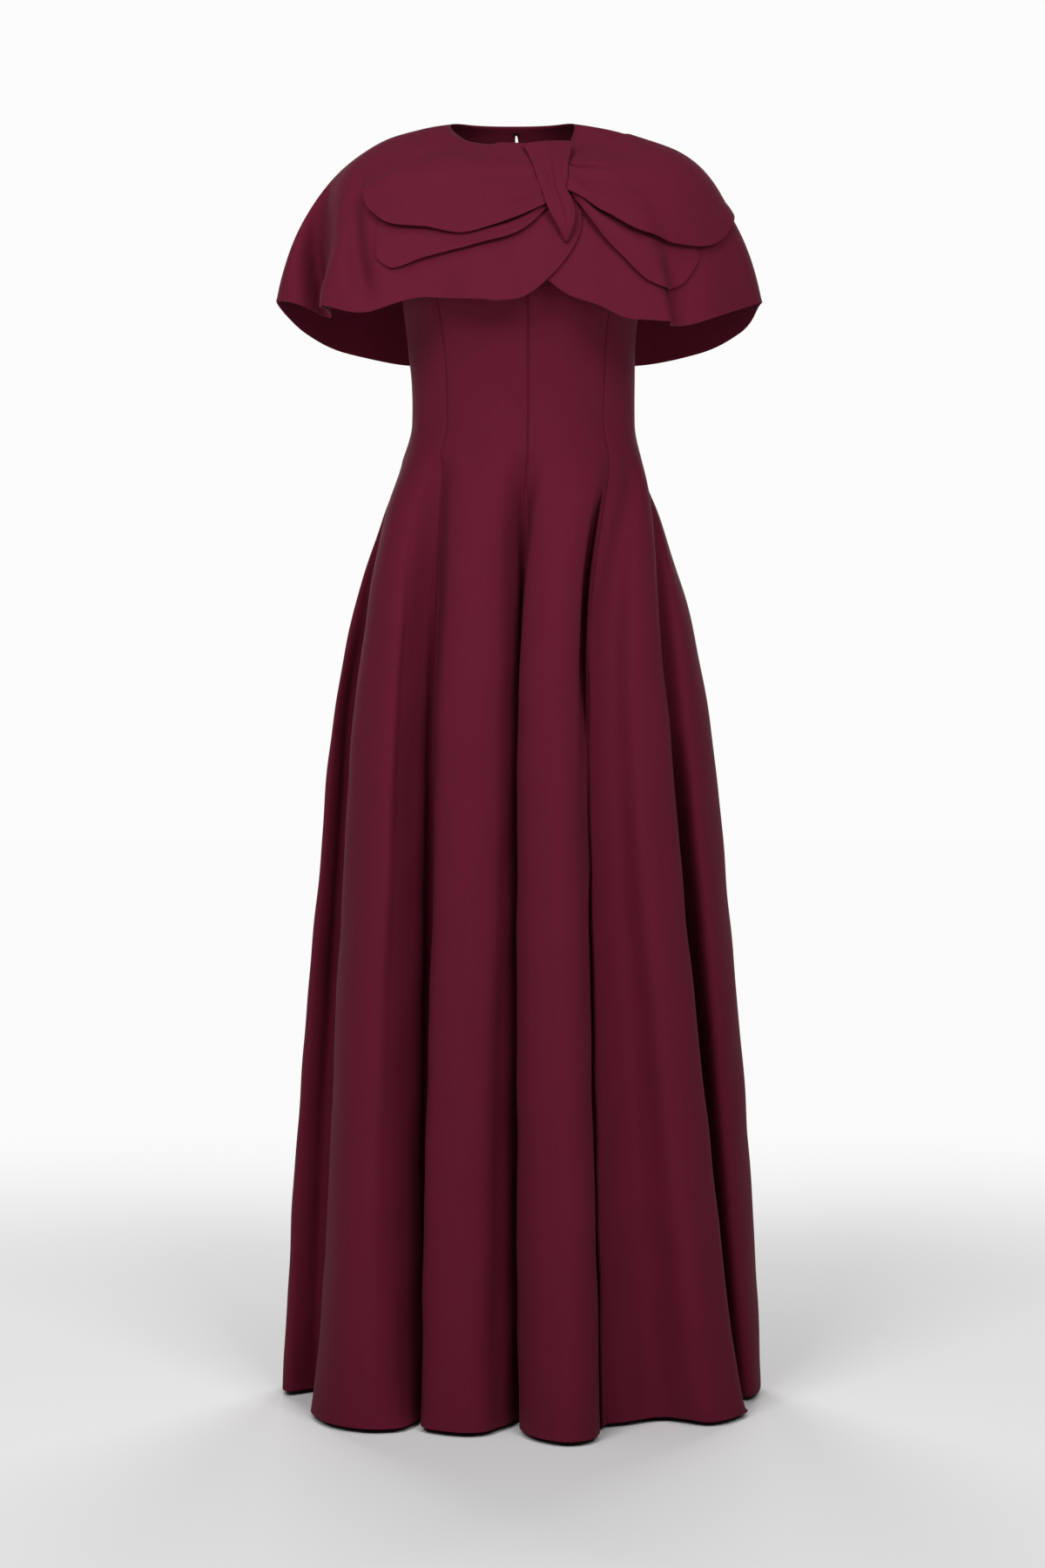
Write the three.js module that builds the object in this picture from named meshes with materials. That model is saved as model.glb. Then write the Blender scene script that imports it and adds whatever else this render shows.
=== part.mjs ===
// Floor-length evening gown: a hollow strapless body of eight full-length gores, and a shoulder
// capelet in two halves with a draped bow on its front.
// Millimetres. The origin is level with the neck points of the shoulders, on the wearer's axis.
// +Z up, the front faces -Y, +X is the viewer's right. Left and right in names are the viewer's.
import * as THREE from 'three';

const CLOTH = 1.5;          // wall of every cloth piece
const SEAM_GAP = 0.3;       // between two pieces at a seam
const HEM_Z = -1457;        // level hem of the skirt
const FOLD_TOP_Z = -388;    // the skirt's folds spring from here
const TOP_EDGE = { z: -161, rise: 11 };   // bodice top: middle height, and how much the front stands above it

const burgundy = new THREE.MeshStandardMaterial({ color: 0x5c1a2c, roughness: 0.85, metalness: 0 });
const darkMetal = new THREE.MeshStandardMaterial({ color: 0x2a1016, roughness: 0.45, metalness: 0.6 });

// Body sizes by height: half width, depth of the front and of the back, and the middle's x.
const LEVELS = [
  { z: -140, half: 140, front: 131.6, back: 98, x: -1 },
  { z: -205, half: 136.5, front: 135, back: 98, x: -1.5 },
  { z: -255, half: 131, front: 120, back: 95, x: -0.5 },
  { z: -300, half: 128.5, front: 105, back: 92, x: 0.5 },
  { z: -345, half: 128, front: 97, back: 91, x: 0.5 },
  { z: -392, half: 139, front: 103, back: 104, x: -0.5 },
  { z: -452, half: 161, front: 114, back: 122, x: -3 },
  { z: -557, half: 191.5, front: 128, back: 142, x: -3.5 },
  { z: -677, half: 214, front: 141, back: 158, x: -4 },
  { z: -857, half: 232, front: 152, back: 172, x: -3 },
  { z: -1157, half: 257, front: 164, back: 186, x: -2.5 },
  { z: -1457, half: 276, front: 172, back: 196, x: -0.5 },
];

// One gore a row, round the body from the centre back. waist: where its first seam crosses the waist,
// in degrees from the front. hem: the hem seen from above, x and y, from the seam's valley over the
// gore's fold. aslant: degrees by which a fold line leans from its place above the hem. bow: degrees by
// which it bends to the side between the two.
const GORES = [
  { name: 'back_left', waist: -180,
    hem: [[0, 168], [-20, 198], [-68, 218], [-118, 205], [-148, 172]] },
  { name: 'side_back_left', waist: -134,
    hem: [[-163, 138], [-200, 142], [-243, 116], [-276, 66], [-272, 12]] },
  { name: 'side_front_left', waist: -90,
    hem: [[-236, 26], [-235, -92], [-206, -145], [-166, -166], [-131, -157]], aslant: [0, 0, 0, -4, -10],
    bow: [4, 4, 0, 0, 0] },
  { name: 'front_left', waist: -42.4,
    hem: [[-103, -84], [-109, -156], [-62, -181], [-28, -168]] },
  { name: 'front_right', waist: 2.7,
    hem: [[7, -80], [-4, -160], [18, -205], [50, -222], [77, -205]] },
  { name: 'side_front_right', waist: 46,
    hem: [[93, -142], [112, -133], [156, -111], [205, -131], [252, -84]], aslant: [0, -6, -12, -14, -20] },
  { name: 'side_back_right', waist: 90,
    hem: [[236, -22], [264, -10], [275, 56], [243, 108], [200, 138]], aslant: [-21, -20, -14, -6, 0] },
  { name: 'back_right', waist: 135,
    hem: [[163, 134], [146, 176], [112, 212], [66, 220], [20, 200]] },
];

const BUST = { turn: 36, spread: 20, z: -215, height: 55, out: 9 };   // soft fullness at the princess seams

// The capelet: its neck opening, the plain oval of its hem, and the folds that lift or sink the hem.
const NECK = { x: -11.5, half: 71.5, depth: 60 };
const CAPE = { half: 279, front: 168, back: 170 };
const NECK_EDGE = [
  { turn: -180, z: 13 }, { turn: -125, z: 10 }, { turn: -90, z: 0 }, { turn: -68, z: -16 },
  { turn: -45, z: -31 }, { turn: -15, z: -37 }, { turn: 15, z: -38 }, { turn: 45, z: -35 },
  { turn: 66, z: -28 }, { turn: 80, z: -11 }, { turn: 90, z: 0 }, { turn: 125, z: 10 },
];
const CAPE_HEM = [
  { turn: -180, out: 0, z: -254 }, { turn: -138, out: 2, z: -253 }, { turn: -119, out: 4, z: -244 },
  { turn: -105, out: 0, z: -228 }, { turn: -91, out: 0, z: -203 }, { turn: -83, out: -20, z: -211 },
  { turn: -76, out: -29, z: -220 }, { turn: -70, out: -20, z: -225 }, { turn: -66, out: -4, z: -228 },
  { turn: -62, out: 12, z: -230 }, { turn: -51, out: 14, z: -241 }, { turn: -36, out: -8, z: -225 },
  { turn: -17, out: 3, z: -232 }, { turn: 0, out: 2, z: -238 }, { turn: 17, out: 0, z: -236 },
  { turn: 27, out: 2, z: -238 }, { turn: 37, out: 5, z: -251 }, { turn: 48, out: 6, z: -251 },
  { turn: 57, out: -14, z: -250 }, { turn: 70, out: -20, z: -234 }, { turn: 78, out: -16, z: -221 },
  { turn: 91, out: -1, z: -204 }, { turn: 105, out: 0, z: -228 }, { turn: 119, out: 4, z: -244 },
  { turn: 138, out: 2, z: -253 },
];

// How far down the capelet each front flap reaches, as a share of the full drop: rounded corners.
const FLAP_LEFT = [
  { turn: -10, drop: 1 }, { turn: 0, drop: 0.965 }, { turn: 10, drop: 0.876 },
  { turn: 21.9, drop: 0.713 }, { turn: 27.7, drop: 0.59 }, { turn: 30, drop: 0.5 },
];
const FLAP_RIGHT = [
  { turn: -8, drop: 0.5 }, { turn: 1.3, drop: 0.718 }, { turn: 10.7, drop: 0.876 },
  { turn: 18.5, drop: 0.961 }, { turn: 29, drop: 1 },
];
// The left flap lies on the right one: it rises between two turns, and ends by the last one.
const FLAP_LIFT = { from: -24, to: -12, off: 31, end: 39, out: 3 };
const SLIT = { turn: 176.8, closed: 0.05, open: 0.1, shut: 0.42, end: 0.48, half: 1.6 };

// The bow. Each petal is a row of stations from the band to the tip, with its top and low edge on the
// capelet. tuck: how far its sewn top edge stands off, base: the same for its lower half, edge and puff:
// more of it at the low edge and in the middle, fade: where along the petal it settles on the capelet.
const PETALS = [
  { name: 'petal_upper_left', tuck: 3.4, base: 8, edge: 4, puff: 5, fade: [0.7, 1.6], rows: [
    { along: 0, topTurn: 13, top: 0.068, lowTurn: 15.6, low: 0.469 },
    { along: 0.25, topTurn: -8.9, top: 0.037, lowTurn: -2.1, low: 0.559 },
    { along: 0.5, topTurn: -39.1, top: 0.041, lowTurn: -26.5, low: 0.68 },
    { along: 0.75, topTurn: -59.3, top: 0.196, lowTurn: -47, low: 0.629 },
    { along: 0.9, topTurn: -62.1, top: 0.366, lowTurn: -55.6, low: 0.58 },
    { along: 0.97, topTurn: -63.6, top: 0.427, lowTurn: -58.6, low: 0.556 },
    { along: 1, topTurn: -63.8, top: 0.462, lowTurn: -60.9, low: 0.52 },
  ] },
  { name: 'petal_lower_left', tuck: 2.4, base: 3.4, edge: 2.5, puff: 1.5, fade: [0.7, 1.6], rows: [
    { along: 0, topTurn: 13.7, top: 0.408, lowTurn: 15.5, low: 0.477 },
    { along: 0.25, topTurn: 0.5, top: 0.478, lowTurn: 1.9, low: 0.605 },
    { along: 0.5, topTurn: -25.6, top: 0.576, lowTurn: -19.1, low: 0.72 },
    { along: 0.75, topTurn: -43.7, top: 0.57, lowTurn: -38.6, low: 0.815 },
    { along: 0.9, topTurn: -50.7, top: 0.558, lowTurn: -44.6, low: 0.836 },
    { along: 0.97, topTurn: -52.9, top: 0.59, lowTurn: -48.1, low: 0.799 },
    { along: 1, topTurn: -53, top: 0.642, lowTurn: -50.2, low: 0.761 },
  ] },
  { name: 'petal_upper_right', tuck: 3.4, base: 8, edge: 4, puff: 4, fade: [0.5, 1], rows: [
    { along: 0, topTurn: 39.5, top: 0.09, lowTurn: 25, low: 0.385 },
    { along: 0.2, topTurn: 63, top: 0.085, lowTurn: 37.9, low: 0.505 },
    { along: 0.4, topTurn: 80, top: 0.1, lowTurn: 47.1, low: 0.62 },
    { along: 0.6, topTurn: 93, top: 0.16, lowTurn: 59.6, low: 0.686 },
    { along: 0.8, topTurn: 103, top: 0.28, lowTurn: 72.2, low: 0.725 },
    { along: 1, topTurn: 106, top: 0.46, lowTurn: 98, low: 0.57 },
  ] },
  { name: 'petal_lower_right', tuck: 2.55, base: 3.4, edge: 2.5, puff: 1.5, fade: [0.7, 1.6], rows: [
    { along: 0, topTurn: 28.2, top: 0.333, lowTurn: 27.7, low: 0.387 },
    { along: 0.25, topTurn: 40, top: 0.435, lowTurn: 32.2, low: 0.556 },
    { along: 0.5, topTurn: 49.9, top: 0.56, lowTurn: 38.2, low: 0.701 },
    { along: 0.75, topTurn: 61, top: 0.628, lowTurn: 45.5, low: 0.841 },
    { along: 0.9, topTurn: 65.6, top: 0.702, lowTurn: 51.4, low: 0.865 },
    { along: 0.97, topTurn: 66.3, top: 0.732, lowTurn: 58.9, low: 0.84 },
    { along: 1, topTurn: 66.1, top: 0.761, lowTurn: 62.4, low: 0.805 },
  ] },
];
// The band of the bow, by drop, from the neckline to the tip of its tail: left and right edge, and lift.
const BAND = [
  { drop: 0.047, left: 8.9, right: 50, lift: 9 },
  { drop: 0.165, left: 11.6, right: 38, lift: 12 },
  { drop: 0.25, left: 12.4, right: 31.6, lift: 15 },
  { drop: 0.34, left: 13.2, right: 28.2, lift: 15 },
  { drop: 0.4, left: 14, right: 26, lift: 15 },
  { drop: 0.46, left: 14.3, right: 26.7, lift: 15 },
  { drop: 0.52, left: 15.1, right: 26.4, lift: 15 },
  { drop: 0.583, left: 16.8, right: 25.1, lift: 13 },
  { drop: 0.63, left: 18.3, right: 23.2, lift: 10.5 },
  { drop: 0.684, left: 19.6, right: 20.5, lift: 5.5 },
];

const BAND_CROWN = 2.5;      // the band's middle stands above its edges
const HOOK = { wide: 7, high: 3, thick: 1.2, drop: 0.03, clear: 0.85 };

const rad = (degrees) => degrees * Math.PI / 180;
const clamp = (v, low, high) => Math.min(Math.max(v, low), high);
const lerp = (a, b, t) => a + (b - a) * t;
const ease = (t) => {
  const u = clamp(t, 0, 1);
  return u * u * (3 - 2 * u);
};

// A smooth line through one column of a table, without overshoot. turn makes the table repeat.
function curve(rows, by, of, turn = 0) {
  const shifts = turn ? [-turn, 0, turn] : [0];
  const knots = shifts.flatMap((s) => rows.map((r) => [r[by] + s, r[of]]));
  knots.sort((a, b) => a[0] - b[0]);
  const last = knots.length - 1;
  const rise = knots.slice(1).map((k, i) => (k[1] - knots[i][1]) / (k[0] - knots[i][0]));
  const step = knots.slice(1).map((k, i) => k[0] - knots[i][0]);
  const lean = knots.map((k, i) => {
    if (i === 0) return rise[0];
    if (i === last) return rise[last - 1];
    const [a, b] = [rise[i - 1], rise[i]];
    if (a * b <= 0) return 0;
    const near = 2 * step[i] + step[i - 1];
    const far = step[i] + 2 * step[i - 1];
    return (near + far) / (near / a + far / b);
  });
  return (value) => {
    const v = clamp(value, knots[0][0], knots[last][0]);
    let i = 0;
    while (i < last - 1 && v >= knots[i + 1][0]) i += 1;
    const t = (v - knots[i][0]) / step[i];
    const back = 1 - t;
    return knots[i][1] * (1 + 2 * t) * back * back + lean[i] * step[i] * t * back * back
      + knots[i + 1][1] * t * t * (3 - 2 * t) - lean[i + 1] * step[i] * t * t * back;
  };
}

// A closed cloth shell between an outer and an inner sheet of points, both rows of equal length.
function shell(name, outer, inner, material = burgundy) {
  const high = outer.length;
  const wide = outer[0].length;
  const positions = [...outer.flat(), ...inner.flat()].flatMap((p) => [p.x, p.y, p.z]);
  const out = (r, c) => r * wide + c;
  const inn = (r, c) => high * wide + r * wide + c;
  const index = [];
  const quad = (a, b, c, d) => index.push(a, b, c, a, c, d);
  for (let r = 0; r < high - 1; r += 1) {
    for (let c = 0; c < wide - 1; c += 1) {
      quad(out(r, c), out(r + 1, c), out(r + 1, c + 1), out(r, c + 1));
      quad(inn(r, c), inn(r, c + 1), inn(r + 1, c + 1), inn(r + 1, c));
    }
    quad(out(r, 0), inn(r, 0), inn(r + 1, 0), out(r + 1, 0));
    quad(out(r, wide - 1), out(r + 1, wide - 1), inn(r + 1, wide - 1), inn(r, wide - 1));
  }
  for (let c = 0; c < wide - 1; c += 1) {
    quad(out(0, c), out(0, c + 1), inn(0, c + 1), inn(0, c));
    quad(out(high - 1, c), inn(high - 1, c), inn(high - 1, c + 1), out(high - 1, c + 1));
  }
  const geometry = new THREE.BufferGeometry();
  geometry.setAttribute('position', new THREE.Float32BufferAttribute(positions, 3));
  geometry.setIndex(index);
  geometry.computeVertexNormals();
  const mesh = new THREE.Mesh(geometry, material);
  mesh.name = name;
  return mesh;
}

// The gown's body.
const half = curve(LEVELS, 'z', 'half');
const front = curve(LEVELS, 'z', 'front');
const back = curve(LEVELS, 'z', 'back');
const middle = curve(LEVELS, 'z', 'x');

function onBody(turn, z) {
  const depth = Math.cos(rad(turn)) > 0 ? front(z) : back(z);
  return [middle(z) + half(z) * Math.sin(rad(turn)), -depth * Math.cos(rad(turn))];
}

// Every fold point of the body: where it stands at the waist and at the hem.
function foldPoints() {
  return GORES.flatMap((gore, i) => {
    const end = i < GORES.length - 1 ? GORES[i + 1].waist : GORES[0].waist + 360;
    return gore.hem.map(([x, y], j) => {
      const waist = lerp(gore.waist, end, j / gore.hem.length);
      const depth = y < 0 ? front(HEM_Z) : back(HEM_Z);
      let hem = Math.atan2((x - middle(HEM_Z)) / half(HEM_Z), -y / depth) * 180 / Math.PI;
      if (hem - waist > 180) hem -= 360;
      if (hem - waist < -180) hem += 360;
      const [plainX, plainY] = onBody(hem, HEM_Z);
      const [aslant, bow] = [gore.aslant, gore.bow].map((list) => (list ? list[j] : 0));
      return { waist, hem, dx: x - plainX, dy: y - plainY, aslant, bow };
    });
  });
}
const FOLDS = foldPoints();

function bust(turn, z) {
  const side = Math.exp(-(((Math.abs(turn) - BUST.turn) / BUST.spread) ** 2));
  return BUST.out * side * Math.exp(-(((z - BUST.z) / BUST.height) ** 2));
}

// The body cut level at one height: its fold points, from above.
function section(z) {
  const t = clamp((FOLD_TOP_Z - z) / (FOLD_TOP_Z - HEM_Z), 0, 1);
  const grown = 1.03 * t * t / (t + 0.03);
  const swing = 1 - Math.exp(-12 * grown);
  const size = grown ** 0.45;
  return FOLDS.map((f) => {
    const lean = f.aslant * swing * Math.sqrt(1 - t) + f.bow * Math.sin(Math.PI * t ** 3);
    const turn = lerp(f.waist, f.hem, swing) + lean;
    const [x, y] = onBody(turn, z);
    const full = bust(turn, z);
    return new THREE.Vector3(
      x + f.dx * size + 0.5 * full * Math.sin(rad(turn)),
      y + f.dy * size - full * Math.cos(rad(turn)),
      z,
    );
  });
}

const sections = new Map();
function ring(z) {
  const key = z.toFixed(3);
  if (!sections.has(key)) sections.set(key, new THREE.CatmullRomCurve3(section(z), true, 'centripetal'));
  return sections.get(key);
}

// at counts fold points round the body.
function bodyPoint(at, z) {
  const share = at / FOLDS.length;
  return ring(z).getPoint(share - Math.floor(share));
}

function bodyNormal(at, z) {
  const across = bodyPoint(at + 0.02, z).sub(bodyPoint(at - 0.02, z));
  const up = bodyPoint(at, z + 2).sub(bodyPoint(at, z - 2));
  return across.cross(up).normalize();
}

const BODY_ROWS = [-178, -205, -235, -268, -305, -345, -388, -410, -432, -458, -490, -530, -580, -645, -730,
  -840, -970, -1120, -1290, HEM_Z];

function gorePiece(gore, i) {
  const start = GORES.slice(0, i).reduce((sum, g) => sum + g.hem.length, 0);
  const steps = gore.hem.length * 3;
  const outer = [];
  const inner = [];
  for (let r = -1; r < BODY_ROWS.length; r += 1) {
    const outerRow = [];
    const innerRow = [];
    for (let c = 0; c <= steps; c += 1) {
      const seam = c === 0 ? 1 : -1;
      let at = start + c / 3;
      const waist = lerp(gore.waist, i < 7 ? GORES[i + 1].waist : 180, c / steps);
      const z = r < 0 ? TOP_EDGE.z + TOP_EDGE.rise * Math.cos(rad(waist)) : BODY_ROWS[r];
      if (c === 0 || c === steps) {
        const pace = bodyPoint(at + seam * 0.01, z).distanceTo(bodyPoint(at, z)) / 0.01;
        at += seam * SEAM_GAP / 2 / pace;
      }
      const p = bodyPoint(at, z);
      outerRow.push(p);
      innerRow.push(p.clone().addScaledVector(bodyNormal(at, z), -CLOTH));
    }
    outer.push(outerRow);
    inner.push(innerRow);
  }
  return shell(gore.name, outer, inner);
}

// The capelet.
const neckZ = curve(NECK_EDGE, 'turn', 'z', 360);
const hemOut = curve(CAPE_HEM, 'turn', 'out', 360);
const hemZ = curve(CAPE_HEM, 'turn', 'z', 360);
const oval = (s, c, wide, deep) => 1 / Math.hypot(s / wide, c / deep);

// turn: degrees round the neck from the front. drop: 0 at the neck edge, 1 at the full hem.
function capePoint(turn, drop) {
  const s = Math.sin(rad(turn));
  const c = Math.cos(rad(turn));
  const near = oval(s, c, NECK.half, NECK.depth);
  const far = oval(s, c, CAPE.half, c > 0 ? CAPE.front : CAPE.back);
  const first = rad(14 * s * s + (c > 0 ? 46 : 40) * c * c);
  const last = rad(80 * s * s + (c > 0 ? 66 : 85) * c * c);
  const arc = lerp(first, last, drop);
  const reach = (Math.sin(arc) - Math.sin(first)) / (Math.sin(last) - Math.sin(first));
  const fall = (Math.cos(first) - Math.cos(arc)) / (Math.cos(first) - Math.cos(last));
  const spread = Math.sign(reach) * Math.abs(reach) ** (0.75 * s * s + 0.9 * c * c);
  const r = lerp(near, far, spread) + hemOut(turn) * Math.max(drop, 0) ** 1.6;
  return new THREE.Vector3(NECK.x * (1 - drop) + r * s, -r * c, lerp(neckZ(turn), hemZ(turn), fall));
}

function capeNormal(turn, drop) {
  const d = Math.max(drop, 0.012);
  const across = capePoint(turn + 0.5, d).sub(capePoint(turn - 0.5, d));
  const down = capePoint(turn, d + 0.01).sub(capePoint(turn, d - 0.01));
  return down.cross(across).normalize();
}

function onCape(turn, drop, lift) {
  return capePoint(turn, drop).addScaledVector(capeNormal(turn, drop), lift);
}

const degreesFor = (mm, turn, drop) => {
  const pace = capePoint(turn, drop).distanceTo(capePoint(turn + 1, drop));
  return mm / pace;
};

// Half the width of the neck slit at each drop: closed at the top, open below, then a sewn seam.
function slitHalf(drop) {
  const opened = ease((drop - SLIT.closed) / (SLIT.open - SLIT.closed));
  const shut = 1 - ease((drop - SLIT.shut) / (SLIT.end - SLIT.shut));
  return SEAM_GAP / 2 + (SLIT.half - SEAM_GAP / 2) * opened * shut;
}

function capeHalf(name, flap, frontTurn, side, liftAt) {
  const deep = curve(flap, 'turn', 'drop');
  const columns = 46;
  const rows = 11;
  const outer = [];
  const inner = [];
  for (let r = 0; r <= rows; r += 1) {
    const outerRow = [];
    const innerRow = [];
    for (let c = 0; c <= columns; c += 1) {
      const level = (r / rows) ** 1.1;
      const slitTurn = side * lerp(side < 0 ? 183.2 : SLIT.turn, 180, level);
      const backTurn = slitTurn - side * degreesFor(slitHalf(level), slitTurn, level);
      const turn = lerp(backTurn, frontTurn, c / columns);
      const drop = level * (r === 0 ? 1 : deep(turn));
      const lift = liftAt(turn);
      outerRow.push(onCape(turn, drop, lift));
      innerRow.push(onCape(turn, drop, lift - CLOTH));
    }
    if (side > 0) {
      outerRow.reverse();
      innerRow.reverse();
    }
    outer.push(outerRow);
    inner.push(innerRow);
  }
  return shell(name, outer, inner);
}

function flapLift(turn) {
  const rise = ease((turn - FLAP_LIFT.from) / (FLAP_LIFT.to - FLAP_LIFT.from));
  const past = ease((turn - FLAP_LIFT.off) / (FLAP_LIFT.end - FLAP_LIFT.off));
  return FLAP_LIFT.out * rise * (1 - past);
}

// The bow.
function petalPiece({ name, tuck, base, edge, puff, fade, rows }) {
  const topTurn = curve(rows, 'along', 'topTurn');
  const top = curve(rows, 'along', 'top');
  const lowTurn = curve(rows, 'along', 'lowTurn');
  const low = curve(rows, 'along', 'low');
  const columns = 15;
  const steps = 6;
  const outer = [];
  const inner = [];
  for (let r = 0; r <= steps; r += 1) {
    const v = r / steps;
    const outerRow = [];
    const innerRow = [];
    for (let c = 0; c <= columns; c += 1) {
      const u = 1 - (1 - c / columns) ** 1.4;
      const turn = lerp(topTurn(u), lowTurn(u), v);
      const drop = lerp(top(u), low(u), v);
      const along = Math.sin(Math.PI * Math.min(u + 0.08, 1));
      const stand = base - tuck + (edge * v + puff * Math.sin(Math.PI * v)) * along;
      const settled = 1 - ease((u - fade[0]) / (fade[1] - fade[0]));
      const lift = tuck + flapLift(turn) + stand * ease(2 * v) * settled;
      outerRow.push(onCape(turn, drop, lift));
      innerRow.push(onCape(turn, drop, lift - CLOTH));
    }
    if (lowTurn(1) < lowTurn(0)) {
      outerRow.reverse();
      innerRow.reverse();
    }
    outer.push(outerRow);
    inner.push(innerRow);
  }
  return shell(name, outer, inner);
}

function bandPiece() {
  const left = curve(BAND, 'drop', 'left');
  const right = curve(BAND, 'drop', 'right');
  const lift = curve(BAND, 'drop', 'lift');
  const outer = [];
  const inner = [];
  const steps = 18;
  for (let r = 0; r <= steps; r += 1) {
    const drop = lerp(BAND[0].drop, BAND[BAND.length - 1].drop, r / steps);
    const outerRow = [];
    const innerRow = [];
    for (let c = 0; c <= 6; c += 1) {
      const turn = lerp(left(drop), right(drop), c / 6);
      const out = lift(drop) + BAND_CROWN * Math.sin(Math.PI * c / 6);
      outerRow.push(onCape(turn, drop, out));
      innerRow.push(onCape(turn, drop, out - CLOTH));
    }
    outer.push(outerRow);
    inner.push(innerRow);
  }
  return shell('bow_band', outer, inner);
}

// A flat hook lying across the top of the slit, inside the neck.
function hookPiece() {
  const geometry = new THREE.BoxGeometry(HOOK.wide, HOOK.thick, HOOK.high);
  const mesh = new THREE.Mesh(geometry, darkMetal);
  const place = onCape(SLIT.turn, HOOK.drop, -CLOTH - HOOK.clear - HOOK.thick / 2);
  const facing = capeNormal(SLIT.turn, HOOK.drop);
  geometry.rotateX(Math.atan2(facing.z, facing.y));
  geometry.translate(place.x, place.y, place.z);
  mesh.name = 'neck_hook';
  return mesh;
}

const group = new THREE.Group();
group.name = 'strapless_evening_gown';
GORES.forEach((gore, i) => group.add(gorePiece(gore, i)));
group.add(capeHalf('cape_left', FLAP_LEFT, 30, -1, flapLift));
group.add(capeHalf('cape_right', FLAP_RIGHT, -8, 1, () => 0));
PETALS.forEach((petal) => group.add(petalPiece(petal)));
group.add(bandPiece());
group.add(hookPiece());

export default group;
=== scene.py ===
"""Looks of the strapless evening gown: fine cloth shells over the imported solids, in their frame.

Sizes are in millimetres until a mesh is made. +Z up, the front faces -Y, +X is the viewer's right.
A turn is in degrees round the body, from the centre front to the viewer's right. A drop is the share of the
way down the capelet, from its neck edge to its hem.
"""
import math

import bpy
import numpy as np
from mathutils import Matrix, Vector


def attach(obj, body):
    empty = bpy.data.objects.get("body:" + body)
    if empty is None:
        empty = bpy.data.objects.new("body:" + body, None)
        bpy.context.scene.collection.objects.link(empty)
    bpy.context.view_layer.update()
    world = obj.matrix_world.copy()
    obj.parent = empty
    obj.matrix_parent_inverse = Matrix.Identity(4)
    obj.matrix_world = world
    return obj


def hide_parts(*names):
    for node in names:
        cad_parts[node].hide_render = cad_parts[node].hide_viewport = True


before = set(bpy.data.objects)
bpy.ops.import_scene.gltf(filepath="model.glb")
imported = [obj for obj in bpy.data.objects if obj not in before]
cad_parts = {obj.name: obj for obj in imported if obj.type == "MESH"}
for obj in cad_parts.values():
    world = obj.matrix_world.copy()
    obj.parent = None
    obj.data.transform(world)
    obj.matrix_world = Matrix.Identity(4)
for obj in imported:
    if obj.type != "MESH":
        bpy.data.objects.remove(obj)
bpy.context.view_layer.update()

# Camera: metres in front of the gown's axis and above its origin, lens and sensor in millimetres.
CAMERA = {"distance": 3.0, "height": -0.757, "lens": 60.0, "sensor": 36.0}


def make_camera():
    data = bpy.data.cameras.new("camera")
    data.lens = CAMERA["lens"]
    data.sensor_width = CAMERA["sensor"]
    data.sensor_fit = "AUTO"
    camera = bpy.data.objects.new("camera", data)
    camera.location = (0.0, -CAMERA["distance"], CAMERA["height"])
    camera.rotation_euler = (math.pi / 2, 0.0, 0.0)
    bpy.context.scene.collection.objects.link(camera)
    bpy.context.scene.camera = camera


make_camera()

# Sizes. The tables are those of the part's source, so that each shell lies on its solid. Only the cloth is a
# little thinner here, and the neck slit opens a little higher.
CLOTH = 1.3
# Sewn edges lap, so that no light shows between them.
SEAM_LAP = 0.1
HEM_Z = -1457.0
FOLD_TOP_Z = -388.0
TOP_EDGE = {"z": -161.0, "rise": 11.0}


def table(columns, *rows):
    """Rows of numbers as one array for each named column."""
    return {name: np.array([r[i] for r in rows], float) for i, name in enumerate(columns.split())}


LEVELS = table(
    "z half front back x",
    (-1457, 276, 172, 196, -0.5),
    (-1157, 257, 164, 186, -2.5),
    (-857, 232, 152, 172, -3),
    (-677, 214, 141, 158, -4),
    (-557, 191.5, 128, 142, -3.5),
    (-452, 161, 114, 122, -3),
    (-392, 139, 103, 104, -0.5),
    (-345, 128, 97, 91, 0.5),
    (-300, 128.5, 105, 92, 0.5),
    (-255, 131, 120, 95, -0.5),
    (-205, 136.5, 135, 98, -1.5),
    (-140, 140, 131.6, 98, -1),
)
# One gore a row, round the body from the centre back: its node, where its first seam crosses the waist, its
# hem seen from above from the seam's valley over the fold, and how its fold lines lean and bow above it.
GORES = [
    {"node": "back_left", "waist": -180,
     "hem": [(0, 168), (-20, 198), (-68, 218), (-118, 205), (-148, 172)]},
    {"node": "side_back_left", "waist": -134,
     "hem": [(-163, 138), (-200, 142), (-243, 116), (-276, 66), (-272, 12)]},
    {"node": "side_front_left", "waist": -90,
     "hem": [(-236, 26), (-235, -92), (-206, -145), (-166, -166), (-131, -157)],
     "aslant": [0, 0, 0, -4, -10], "bow": [4, 4, 0, 0, 0]},
    {"node": "front_left", "waist": -42.4,
     "hem": [(-103, -84), (-109, -156), (-62, -181), (-28, -168)]},
    {"node": "front_right", "waist": 2.7,
     "hem": [(7, -80), (-4, -160), (18, -205), (50, -222), (77, -205)]},
    {"node": "side_front_right", "waist": 46,
     "hem": [(93, -142), (112, -133), (156, -111), (205, -131), (252, -84)],
     "aslant": [0, -6, -12, -14, -20]},
    {"node": "side_back_right", "waist": 90,
     "hem": [(236, -22), (264, -10), (275, 56), (243, 108), (200, 138)],
     "aslant": [-21, -20, -14, -6, 0]},
    {"node": "back_right", "waist": 135,
     "hem": [(163, 134), (146, 176), (112, 212), (66, 220), (20, 200)]},
]
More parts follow.
